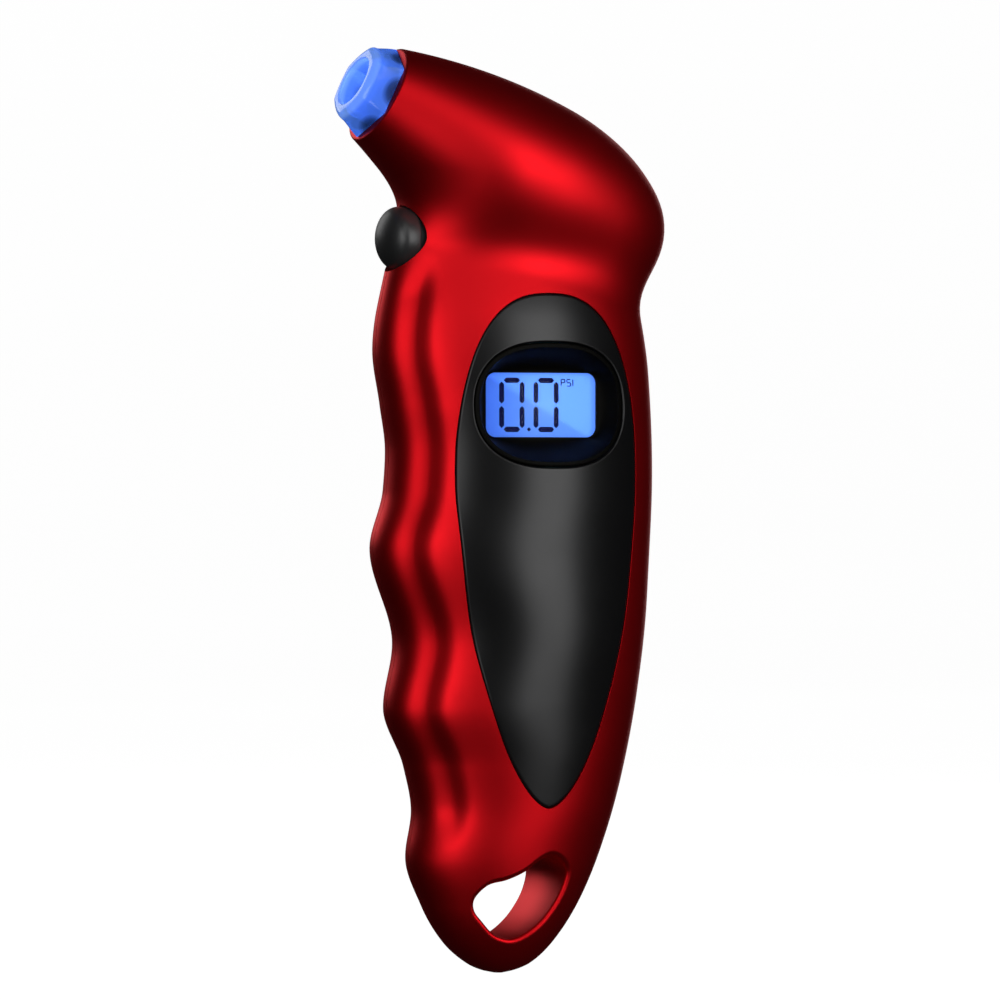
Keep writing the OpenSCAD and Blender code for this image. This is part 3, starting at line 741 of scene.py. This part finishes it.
def chuck_tip():
    """The translucent tip: a tapered hexagon, rounded towards its rim, with a bore and a spigot behind."""
    count = 180
    hex_flat = hexagon(1.0, 0.05, count)
    around = np.linalg.norm(hex_flat, axis=1)[:, None]
    round_way = hex_flat / around
    shoulder = HEX_LEN - TIP_RIM

    def outline(distance, shrink=0.0):
        width = HEX_R - 0.16 - (HEX_R - HEX_FRONT) * min(distance / shoulder, 1.0)
        part = 0.7 * ease(np.array((distance - 1.0) / shoulder))
        return (hex_flat * (1 - part) + round_way * 0.93 * part) * width - round_way * shrink

    spigot = [(4.75, -4.2), (5.9, -4.2), (6.05, -3.9), (6.05, 0.0)]
    sections = [on_barrel(round_way * radius, distance) for radius, distance in spigot]
    sections.append(on_barrel(outline(0) * 0.95, 0.02))
    for distance in np.append(0.2, np.linspace(0.5, shoulder, 8)):
        sections.append(on_barrel(outline(distance), distance))
    for turn in np.radians([12, 24, 36, 48, 60, 72, 82]):
        shrink = TIP_RIM * (1 - math.cos(turn))
        sections.append(on_barrel(outline(shoulder, shrink), shoulder + TIP_RIM * math.sin(turn)))
    front = shoulder + TIP_RIM * math.sin(math.radians(82))
    sections.append(on_barrel(round_way * (PORT_R + 0.45), front + 0.02))
    for turn in np.radians([20, 45, 70, 90]):
        radius = PORT_R + 0.4 * (1 - math.sin(turn))
        sections.append(on_barrel(round_way * radius, front - 0.4 * (1 - math.cos(turn))))
    for depth in (3.0, 1.5, 0.0, -1.0, -1.8):
        sections.append(on_barrel(round_way * PORT_R, depth))
    sections.append(on_barrel(round_way * 4.7, -1.85))
    return ring_piece("chuck_tip", np.swapaxes(np.array(sections), 0, 1), 30)


def battery_door():
    outer = door_outline(0.0, 260)
    centre = np.array([BAY_X, DOOR_SCREW_Z])
    inner = by_angle(circle(BAY_X, DOOR_SCREW_Z, 2.4, 720), centre, outer - centre)
    cover = skin_patch("door_cover", inner, outer, 1, 0.06, 0.3, 1.05, rows=44)
    cup = turned_ring("door_cup", turned_y(BAY_X, DOOR_SCREW_Z, [
        [12.9, 2.36], [12.3, 2.36], [12.3, 1.2], [11.35, 1.2], [11.35, 3.1], [11.6, 3.28], [12.9, 3.28],
    ]), 30)
    grips = []
    for k in range(4):
        z = 55.2 + 1.9 * k
        bar = rounded_box(BAY_X, z, 10 - 1.6 * k, 0.8, 0.4, 60)
        rings = [on_skin(bar, 1, 0.5), on_skin(bar, 1, 0.02), on_skin(bar - outward(bar) * 0.15, 1, -0.02)]
        grips.append(stacked_piece(f"door_grip_{k + 1}", rings, 60))
    return [cover, cup] + grips


# ---------------------------------------------------------------- materials

def base_material(name):
    material = bpy.data.materials.new(name)
    material.use_nodes = True
    tree = material.node_tree
    shader = tree.nodes["Principled BSDF"]
    coords = tree.nodes.new("ShaderNodeTexCoord")
    return material, tree, shader, coords.outputs["Object"]


def noise(tree, coords, scale):
    node = tree.nodes.new("ShaderNodeTexNoise")
    node.inputs["Scale"].default_value = scale
    node.inputs["Detail"].default_value = 3.0
    tree.links.new(coords, node.inputs["Vector"])
    return node.outputs["Fac"]


def ramp(tree, value, stops):
    """Colours at positions from 0 to 1. stops is a list of (position, (r, g, b))."""
    node = tree.nodes.new("ShaderNodeValToRGB")
    marks = node.color_ramp.elements
    while len(marks) < len(stops):
        marks.new(0.5)
    for mark, (position, color) in zip(marks, stops):
        mark.position = position
        mark.color = (*color, 1.0)
    tree.links.new(value, node.inputs["Fac"])
    return node.outputs["Color"]


def spread(tree, value, low, high, start=0.0, end=1.0):
    """A value that goes from low to high while the given one goes from start to end."""
    node = tree.nodes.new("ShaderNodeMapRange")
    node.inputs["From Min"].default_value = start
    node.inputs["From Max"].default_value = end
    node.inputs["To Min"].default_value = low
    node.inputs["To Max"].default_value = high
    tree.links.new(value, node.inputs["Value"])
    return node.outputs["Result"]


def vector_step(tree, operation, value, other, output="Vector"):
    """One step of vector arithmetic with a fixed second vector."""
    node = tree.nodes.new("ShaderNodeVectorMath")
    node.operation = operation
    node.inputs[1].default_value = other
    tree.links.new(value, node.inputs[0])
    return node.outputs[output]


def finish_of(name, low, high, rough, metallic=0.0, grain=1200.0, bump=0.0, **inputs):
    """A procedural finish: colour drifts between low and high, roughness between two values."""
    material, tree, shader, coords = base_material(name)
    drift = noise(tree, coords, 45.0)
    tree.links.new(ramp(tree, drift, [(0.3, low), (0.7, high)]), shader.inputs["Base Color"])
    tree.links.new(spread(tree, noise(tree, coords, 160.0), *rough), shader.inputs["Roughness"])
    shader.inputs["Metallic"].default_value = metallic
    for key, value in inputs.items():
        shader.inputs[key.replace("_", " ")].default_value = value
    if bump:
        node = tree.nodes.new("ShaderNodeBump")
        node.inputs["Strength"].default_value = bump
        node.inputs["Distance"].default_value = 0.00005
        tree.links.new(noise(tree, coords, grain), node.inputs["Height"])
        tree.links.new(node.outputs["Normal"], shader.inputs["Normal"])
    return material


def brushed(name, low, high, rough, axis=0):
    """Metal with fine lines along one axis."""
    material, tree, shader, coords = base_material(name)
    stretch = tree.nodes.new("ShaderNodeMapping")
    scale = [1.0, 1.0, 1.0]
    scale[axis] = 0.04
    stretch.inputs["Scale"].default_value = scale
    tree.links.new(coords, stretch.inputs["Vector"])
    lines = noise(tree, stretch.outputs["Vector"], 2600.0)
    tree.links.new(ramp(tree, lines, [(0.3, low), (0.7, high)]), shader.inputs["Base Color"])
    tree.links.new(spread(tree, lines, *rough), shader.inputs["Roughness"])
    shader.inputs["Metallic"].default_value = 1.0
    return material


def display_light():
    """The backlit display: lighter to the right, with a soft darker diagonal band low on the right that is a
    painted reflection of the window's gloss.
    """
    material, tree, shader, coords = base_material("display_light")
    split = tree.nodes.new("ShaderNodeSeparateXYZ")
    tree.links.new(coords, split.inputs["Vector"])
    across = spread(tree, split.outputs["X"], 0.0, 1.0, start=-8.0 * MM, end=13.5 * MM)
    glow = ramp(tree, across, [
        (0.0, (0.035, 0.12, 0.72)),
        (0.22, (0.06, 0.18, 0.76)),
        (0.5, (0.10, 0.26, 0.90)),
        (1.0, (0.10, 0.27, 0.96)),
    ])
    # Painted reflection: a soft diagonal darkening low on the right stands for the window's gloss.
    slant = tree.nodes.new("ShaderNodeMath")
    slant.operation = "MULTIPLY_ADD"
    slant.inputs[1].default_value = 0.55
    tree.links.new(split.outputs["X"], slant.inputs[0])
    tree.links.new(split.outputs["Z"], slant.inputs[2])
    painted_reflection_wedge = spread(tree, slant.outputs["Value"], 0.72, 1.0, start=94.1 * MM, end=95.0 * MM)
    dim = tree.nodes.new("ShaderNodeMix")
    dim.data_type = "RGBA"
    dim.blend_type = "MULTIPLY"
    dim.inputs["Factor"].default_value = 1.0
    tree.links.new(glow, dim.inputs["A"])
    tree.links.new(painted_reflection_wedge, dim.inputs["B"])
    tree.links.new(dim.outputs["Result"], shader.inputs["Emission Color"])
    tree.links.new(dim.outputs["Result"], shader.inputs["Base Color"])
    shader.inputs["Emission Strength"].default_value = 0.68
    shader.inputs["Specular IOR Level"].default_value = 0.1
    shader.inputs["Roughness"].default_value = 0.6
    return material


def lit_tip():
    """Blue plastic with a painted glow, brighter towards its rim and kept bright in the bore.
    A painted dark spot by the joint on each flat stands for the seal inside."""
    material, tree, shader, coords = base_material("lit_tip")
    from_joint = vector_step(tree, "SUBTRACT", coords, place(MOUTH))
    along_tip = vector_step(tree, "DOT_PRODUCT", from_joint, OUT, "Value")
    reach = spread(tree, along_tip, 0.0, 1.0, end=HEX_LEN * MM)
    # Painted glow: emission colour that grows brighter towards the rim.
    glow = ramp(tree, reach, [
        (0.0, (0.045, 0.14, 0.60)),
        (0.5, (0.05, 0.16, 0.65)),
        (0.74, (0.07, 0.20, 0.75)),
        (0.86, (0.20, 0.40, 0.98)),
    ])
    tree.links.new(glow, shader.inputs["Emission Color"])
    # Painted dark spot by the joint on each flat, with the bore kept glowing: less emission and a darker
    # colour there.
    from_seal = vector_step(tree, "DISTANCE", coords, place(MOUTH - 3.0 * OUT), "Value")
    past_spot = spread(tree, from_seal, 0.0, 1.0, start=7.75 * MM, end=8.25 * MM)
    off_axis = vector_step(tree, "CROSS_PRODUCT", from_joint, OUT)
    radius = tree.nodes.new("ShaderNodeVectorMath")
    radius.operation = "LENGTH"
    tree.links.new(off_axis, radius.inputs[0])
    in_bore = spread(tree, radius.outputs["Value"], 0.0, 1.0, start=5.6 * MM, end=5.0 * MM)
    lit = tree.nodes.new("ShaderNodeMath")
    lit.operation = "MAXIMUM"
    tree.links.new(past_spot, lit.inputs[0])
    tree.links.new(in_bore, lit.inputs[1])
    lit = lit.outputs["Value"]
    tint = ramp(tree, lit, [(0.3, (0.006, 0.02, 0.06)), (0.9, (0.10, 0.24, 0.80))])
    tree.links.new(tint, shader.inputs["Base Color"])
    tree.links.new(spread(tree, lit, 0.10, 0.55), shader.inputs["Emission Strength"])
    tree.links.new(spread(tree, noise(tree, coords, 220.0), 0.14, 0.22), shader.inputs["Roughness"])
    shader.inputs["Transmission Weight"].default_value = 0.5
    shader.inputs["IOR"].default_value = 1.3
    shader.inputs["Coat Weight"].default_value = 0.4
    shader.inputs["Coat Roughness"].default_value = 0.15
    return material


def clear_window():
    material, tree, shader, coords = base_material("clear_window")
    tint = ramp(tree, noise(tree, coords, 60.0), [(0.3, (0.93, 0.96, 1.0)), (0.7, (0.97, 0.98, 1.0))])
    tree.links.new(tint, shader.inputs["Base Color"])
    tree.links.new(spread(tree, noise(tree, coords, 400.0), 0.01, 0.05), shader.inputs["Roughness"])
    shader.inputs["Transmission Weight"].default_value = 1.0
    shader.inputs["IOR"].default_value = 1.12
    return material


def dark_ink():
    return finish_of("dark_ink", (0.0, 0.001, 0.035), (0.0, 0.002, 0.045), (0.7, 0.8), Specular_IOR_Level=0.1)


RED_PAINT = finish_of("red_paint", (0.76, 0.008, 0.014), (0.80, 0.010, 0.016), (0.44, 0.49), metallic=1.0,
                      grain=5200.0, bump=0.04)
PANEL_BLACK = finish_of("panel_black", (0.005, 0.005, 0.0055), (0.007, 0.007, 0.0075), (0.27, 0.32),
                        grain=3800.0, bump=0.03, Specular_IOR_Level=0.36)
GLOSS_BLACK = finish_of("gloss_black", (0.0015, 0.0013, 0.0008), (0.0022, 0.0020, 0.0012), (0.50, 0.60),
                        Specular_IOR_Level=0.08)
BUTTON_BLACK = finish_of("button_black", (0.022, 0.023, 0.024), (0.028, 0.029, 0.030), (0.38, 0.44),
                         grain=3000.0, bump=0.05, Specular_IOR_Level=0.7)
RUBBER = finish_of("seal_rubber", (0.012, 0.012, 0.013), (0.020, 0.020, 0.021), (0.6, 0.75), bump=0.2)
BLACK_PLASTIC = finish_of("black_plastic", (0.012, 0.012, 0.012), (0.020, 0.020, 0.020), (0.45, 0.6),
                          bump=0.1)
GREY_PLASTIC = finish_of("grey_plastic", (0.20, 0.20, 0.21), (0.27, 0.27, 0.28), (0.4, 0.5), bump=0.1)
WHITE_PLASTIC = finish_of("white_plastic", (0.75, 0.78, 0.80), (0.82, 0.84, 0.86), (0.4, 0.5))
BOARD_GREEN = finish_of("board_green", (0.010, 0.110, 0.040), (0.015, 0.150, 0.055), (0.3, 0.4), bump=0.1)
CERAMIC = finish_of("ceramic", (0.30, 0.22, 0.13), (0.42, 0.33, 0.22), (0.45, 0.6), grain=2500.0, bump=0.2)
SILICONE = finish_of("silicone", (0.66, 0.64, 0.58), (0.74, 0.72, 0.67), (0.35, 0.45), Subsurface_Weight=0.2)
WIRE_RED = finish_of("wire_red", (0.40, 0.010, 0.012), (0.50, 0.014, 0.016), (0.35, 0.45), bump=0.1)
LAMP = finish_of("lamp", (0.55, 0.68, 1.0), (0.62, 0.74, 1.0), (0.1, 0.2), Transmission_Weight=0.6)
STEEL = brushed("steel", (0.46, 0.46, 0.47), (0.60, 0.60, 0.61), (0.22, 0.34), axis=2)
CELL_STEEL = brushed("cell_steel", (0.58, 0.58, 0.60), (0.70, 0.70, 0.72), (0.16, 0.26), axis=1)
BRASS = brushed("brass", (0.66, 0.46, 0.16), (0.80, 0.60, 0.26), (0.20, 0.32), axis=0)
DISPLAY_LIGHT = display_light()
LIT_TIP = lit_tip()
CLEAR_WINDOW = clear_window()
DARK_INK = dark_ink()


# ---------------------------------------------------------------- the object

def dress(obj, material, body, slot, *replaced):
    obj.data.materials.clear()
    obj.data.materials.append(material)
    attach(obj, body)
    if replaced:
        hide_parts(*replaced)


def build_covers():
    dress(front_case(), RED_PAINT, "case", "red_case", "front_shell")
    dress(rear_case(), RED_PAINT, "case", "red_case", "rear_shell")
    for piece in screw_sleeves():
        dress(piece, RED_PAINT, "case", "red_case")
    dress(face_panel(), PANEL_BLACK, "case", "black_panel", "face_panel")
    dress(display_bezel(), GLOSS_BLACK, "case", "gloss_black", "display_bezel")
    dress(display_window(), CLEAR_WINDOW, "case", "clear_window", "display_window")
    dress(display_figures(), DARK_INK, "case", "lcd_blue")
    dress(power_button(), BUTTON_BLACK, "button", "button_rubber", "power_button")
    dress(chuck_tip(), LIT_TIP, "case", "blue_lens", "nozzle_lens")
    door = battery_door()
    dress(door[0], RED_PAINT, "door", "red_case", "battery_door")
    for piece in door[1:]:
        dress(piece, RED_PAINT, "door", "red_case")


CAD_FINISHES = {
    "front_shell": RED_PAINT, "rear_shell": RED_PAINT, "face_panel": PANEL_BLACK,
    "display_bezel": GLOSS_BLACK, "display_window": CLEAR_WINDOW, "lcd_glass": DISPLAY_LIGHT,
    "lcd_backlight": WHITE_PLASTIC, "zebra_strips": RUBBER, "power_button": BUTTON_BLACK,
    "switch_plunger": BLACK_PLASTIC, "tact_switch": STEEL, "nozzle_lens": LIT_TIP,
    "nozzle_seal": RUBBER, "depressor_pin": BRASS, "nozzle_body": BRASS, "nozzle_led": LAMP,
    "air_hose": SILICONE, "hose_clips": STEEL, "pressure_sensor": GREY_PLASTIC,
    "main_board": BOARD_GREEN, "controller_chip": BLACK_PLASTIC, "board_components": CERAMIC,
    "board_screws": STEEL, "battery_tray": BLACK_PLASTIC, "button_cells": CELL_STEEL,
    "positive_contact": BRASS, "negative_contact": STEEL, "battery_wires": WIRE_RED,
    "battery_door": RED_PAINT, "battery_door_screw": STEEL, "case_screw_set": STEEL,
}


def paint_cad():
    for name, material in CAD_FINISHES.items():
        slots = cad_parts[name].data.materials
        slots.clear()
        slots.append(material)


# ---------------------------------------------------------------- studio

VIEW_YAW = math.radians(25)
TO_CAMERA = Vector((-math.sin(VIEW_YAW), -math.cos(VIEW_YAW), 0))
TO_RIGHT = Vector((math.cos(VIEW_YAW), -math.sin(VIEW_YAW), 0))
LENS = 300.0
IMAGE_WIDTH = 163.9 * MM  # width that the picture covers at the object
AIM = TO_RIGHT * (-0.2 * MM) + Vector((0, 0, 77.4 * MM))


def stage_bowl():
    """A pale floor that curves up into a wall and roof. Only the camera and clear parts see it."""
    profile = [(0.0, 0.0), (2.2, 0.0)]
    bends = np.radians(np.linspace(9, 90, 10))
    profile += [(2.2 + 1.6 * math.sin(a), 1.6 - 1.6 * math.cos(a)) for a in bends]
    profile += [(3.8 * math.cos(a), 1.6 + 3.8 * math.sin(a)) for a in bends]
    turn = np.linspace(0, 2 * math.pi, 64, endpoint=False)
    points = [(r * math.cos(a), r * math.sin(a), z) for r, z in profile for a in turn]
    faces = [f[::-1] for f in grid_faces(len(profile), len(turn), wrap_columns=True)]
    mesh = bpy.data.meshes.new("stage_bowl")
    mesh.from_pydata(points, [], faces)
    bowl = bpy.data.objects.new("stage_bowl", mesh)
    bpy.context.scene.collection.objects.link(bowl)
    material, tree, shader, coords = base_material("pale_stage")
    pale = ramp(tree, noise(tree, coords, 0.7), [(0.2, (0.97, 0.97, 0.97)), (0.8, (1.0, 1.0, 1.0))])
    tree.links.new(pale, shader.inputs["Emission Color"])
    shader.inputs["Emission Strength"].default_value = 1.0
    shader.inputs["Base Color"].default_value = (0.2, 0.2, 0.2, 1.0)
    shader.inputs["Roughness"].default_value = 0.9
    mesh.materials.append(material)
    bowl.visible_diffuse = False
    bowl.visible_glossy = False


def soft_light(name, direction, distance, width, height, power):
    """A rectangular light that faces the object from this direction."""
    data = bpy.data.lights.new(name, "AREA")
    data.shape = "RECTANGLE"
    data.size = width
    data.size_y = height
    data.energy = power
    light = bpy.data.objects.new(name, data)
    way = Vector(direction).normalized()
    light.location = Vector((0, 0, 0.08)) + way * distance
    light.rotation_mode = "QUATERNION"
    light.rotation_quaternion = way.to_track_quat("Z", "Y")
    light.visible_camera = False
    bpy.context.scene.collection.objects.link(light)


def studio():
    scene = bpy.context.scene
    scene.view_settings.view_transform = "Standard"
    world = bpy.data.worlds.new("studio")
    scene.world = world
    world.use_nodes = True
    background = world.node_tree.nodes["Background"]
    background.inputs["Color"].default_value = (0.012, 0.012, 0.012, 1.0)
    soft_light("key", (-0.67, -0.74, 0.13), 0.9, 0.50, 0.62, 2.4)
    soft_light("strip", (0.42, -0.91, 0.13), 0.9, 0.42, 0.60, 3.0)
    soft_light("top", (-0.13, -0.80, 0.58), 0.9, 0.50, 0.40, 0.7)
    soft_light("back_right", (0.62, 0.76, 0.10), 0.9, 0.3, 0.5, 0.5)
    soft_light("back_left", (-0.35, 0.87, 0.40), 0.9, 0.5, 0.5, 1.2)
    data = bpy.data.cameras.new("camera")
    data.lens = LENS
    camera = bpy.data.objects.new("camera", data)
    distance = IMAGE_WIDTH * LENS / data.sensor_width
    camera.location = AIM + TO_CAMERA * distance
    camera.rotation_mode = "QUATERNION"
    camera.rotation_quaternion = TO_CAMERA.to_track_quat("Z", "Y")
    data.clip_start = 0.01
    data.clip_end = 20.0
    scene.collection.objects.link(camera)
    scene.camera = camera


build_covers()
paint_cad()
stage_bowl()
studio()
